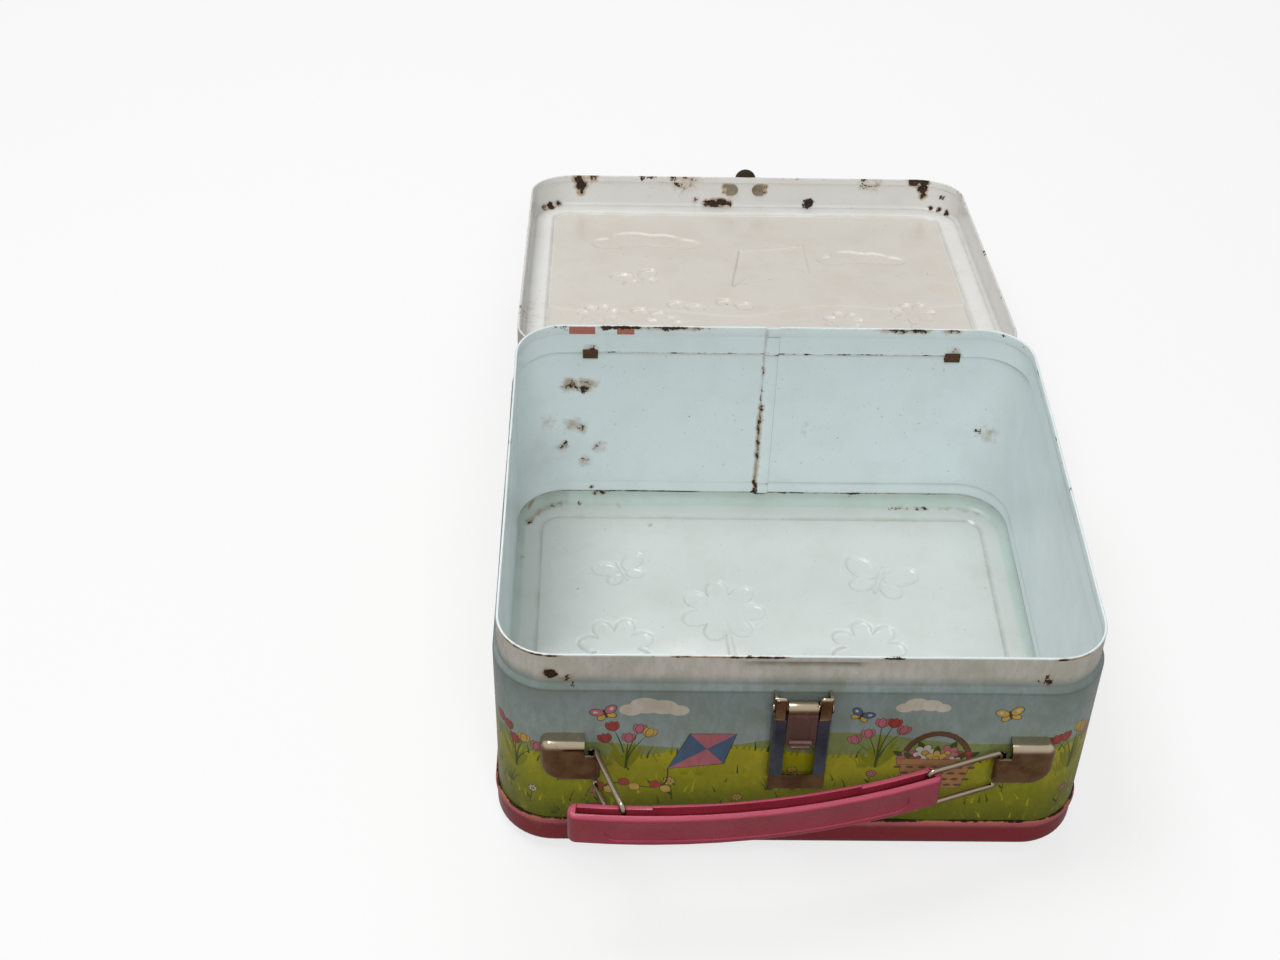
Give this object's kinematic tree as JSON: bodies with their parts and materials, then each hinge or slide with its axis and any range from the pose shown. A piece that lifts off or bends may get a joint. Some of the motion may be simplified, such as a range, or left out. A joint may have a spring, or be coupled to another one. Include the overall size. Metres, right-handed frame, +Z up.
{
  "type": "lunch box",
  "caption": "Rounded tin lunch box lying on its back with its hinged lid folded open, a hasp latch on the front wall and a bowed plastic grip hung on wire bails.",
  "frame": {"origin": "middle of the flat panel that the box rests on", "axes": "+Z up through the open mouth, +Y towards the hinge and the folded-open lid, -Y towards the latch and handle"},
  "size_m": [0.2054, 0.3955, 0.0951],
  "materials": {
    "printed_tin": "lithographed tinplate, pale enamel inside, chipped at the edges",
    "pink_enamel": "pink gloss enamel outside, pale enamel inside",
    "lid_enamel": "printed outside, warm white enamel inside",
    "hinge_steel": "plain steel, rusted",
    "nickel_plate": "worn nickel plate",
    "nickel_wire": "plated wire",
    "pink_plastic": "moulded, worn semi-gloss"
  },
  "bodies": {
    "box": {"body_band": "printed_tin", "base_pan": "pink_enamel", "body_hinge_leaf": "hinge_steel", "hinge_pin": "hinge_steel", "latch_frame": "nickel_plate", "latch_pin": "nickel_plate", "handle_ear_left": "nickel_plate", "handle_ear_right": "nickel_plate"},
    "lid": {"lid_shell": "lid_enamel", "lid_hinge_leaf": "hinge_steel", "lid_keeper": "nickel_plate"},
    "hasp": {"latch_hasp": "nickel_plate"},
    "bail_left": {"handle_bail_left": "nickel_wire"},
    "grip": {"handle_grip": "pink_plastic"},
    "bail_right": {"handle_bail_right": "nickel_wire"}
  },
  "joints": [
    {"name": "lid_hinge", "type": "hinge", "parent": "box", "child": "lid", "pos_m": [0, 0.09175, 0.0813], "axis": [1, 0, 0], "range_deg": [0, 190]},
    {"name": "hasp_swing", "type": "hinge", "parent": "box", "child": "hasp", "pos_m": [0, -0.0942, 0.0772], "axis": [-1, 0, 0], "range_deg": [0, 180]},
    {"name": "handle_swing", "type": "hinge", "parent": "box", "child": "bail_left", "pos_m": [-0.0675, -0.094, 0.048], "axis": [0, 0, 1], "range_deg": [0, 49]},
    {"name": "grip_turn", "type": "hinge", "parent": "bail_left", "child": "grip", "pos_m": [-0.05793, -0.11893, 0.048], "axis": [0, 0, 1], "range_deg": [-66.94, 0]},
    {"name": "bail_right_swing", "type": "hinge", "parent": "box", "child": "bail_right", "pos_m": [0.0675, -0.094, 0.048], "axis": [0, 0, 1], "range_deg": [0, 49]}
  ],
  "couplings": [
    {"joint": "grip_turn", "follows": "handle_swing", "ratio": -1.3651},
    {"joint": "bail_right_swing", "follows": "handle_swing", "ratio": 1}
  ]
}
